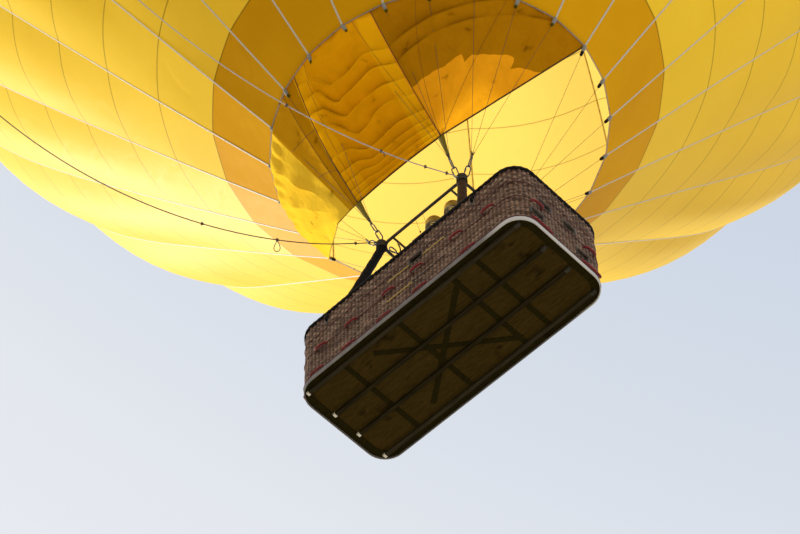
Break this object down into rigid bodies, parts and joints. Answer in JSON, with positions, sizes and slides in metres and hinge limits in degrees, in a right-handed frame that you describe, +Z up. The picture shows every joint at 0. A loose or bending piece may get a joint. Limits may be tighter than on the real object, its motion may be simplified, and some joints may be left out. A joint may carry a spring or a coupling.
{
  "type": "hot air balloon",
  "caption": "Large ride balloon: gored fabric envelope with a sliding crown vent, scoop, flying wires, load frame, gimballed burners and a long wicker basket.",
  "frame": {"origin": "centre of lift on the envelope axis, 18.5 m above the underside of the runners", "axes": "+Z up; X along the long side of the basket; the scoop hangs on the -Y side"},
  "size_m": [22.5266, 22.5266, 27.9331],
  "materials": {
    "envelope_yellow": "coated ripstop nylon",
    "vent_yellow": "coated ripstop nylon",
    "mouth_orange": "heat-resistant woven cloth",
    "scoop_orange": "heat-resistant woven cloth, sooty near the hem",
    "load_tape": "woven polyester tape",
    "wire_steel": "stainless wire rope and shackles",
    "frame_steel": "welded stainless tube",
    "burner_steel": "dark cast and machined metal",
    "can_stainless": "heat-stained stainless",
    "post_leather": "black padded sleeve",
    "cap_leather": "black padded hide",
    "wicker": "woven cane",
    "base_hide": "grey rawhide",
    "timber": "weathered plywood and battens",
    "runner_alloy": "worn square tube",
    "cylinder_cover": "padded cylinder jacket",
    "pale_rope": "pale braided cord",
    "dark_rope": "dark braided cord"
  },
  "bodies": {
    "root": {"envelope_panel_1": "envelope_yellow", "envelope_panel_2": "envelope_yellow", "envelope_panel_3": "envelope_yellow", "envelope_panel_4": "envelope_yellow", "envelope_panel_5": "envelope_yellow", "envelope_panel_6": "envelope_yellow", "envelope_panel_7": "envelope_yellow", "envelope_panel_8": "envelope_yellow", "mouth_band_1": "mouth_orange", "mouth_band_2": "mouth_orange", "mouth_band_3": "mouth_orange", "mouth_band_4": "mouth_orange", "scoop": "scoop_orange", "crown_tapes": "load_tape", "flying_wires_1": "wire_steel", "flying_wires_2": "wire_steel", "flying_wires_3": "wire_steel", "flying_wires_4": "wire_steel", "flying_wires_5": "wire_steel", "flying_wires_6": "wire_steel", "flying_wires_7": "wire_steel", "flying_wires_8": "wire_steel", "load_frame": "frame_steel", "post_1": "post_leather", "post_2": "post_leather", "post_3": "post_leather", "post_4": "post_leather", "basket_cap": "cap_leather", "basket_wall": "wicker", "partition_1": "wicker", "partition_2": "wicker", "base_band": "base_hide", "base_rim": "timber", "floor_board": "timber", "floor_braces": "timber", "cross_bar_1": "timber", "cross_bar_2": "timber", "runner_1": "runner_alloy", "runner_2": "runner_alloy", "runner_3": "runner_alloy", "runner_4": "runner_alloy", "fuel_cylinder_1": "cylinder_cover", "fuel_cylinder_2": "cylinder_cover", "fuel_cylinder_3": "cylinder_cover", "fuel_cylinder_4": "cylinder_cover", "crown_rope_1": "pale_rope", "crown_rope_2": "dark_rope"},
    "vent": {"vent_panel": "vent_yellow"},
    "cradle": {"gimbal_cradle": "burner_steel"},
    "burners": {"burner_block": "burner_steel", "burner_can_1": "can_stainless", "burner_can_2": "can_stainless"}
  },
  "joints": [
    {"name": "vent_slide", "type": "slide", "parent": "root", "child": "vent", "axis": [0, 0, -1], "range_m": [0, 1], "stiffness_N_per_m": 150, "springref_m": -1.5},
    {"name": "burner_roll", "type": "hinge", "parent": "root", "child": "cradle", "pos_m": [0, 0, -16.15], "axis": [1, 0, 0], "range_deg": [-15, 15]},
    {"name": "burner_pitch", "type": "hinge", "parent": "cradle", "child": "burners", "pos_m": [0, 0, -16.15], "axis": [0, 1, 0], "range_deg": [-15, 15]}
  ]
}
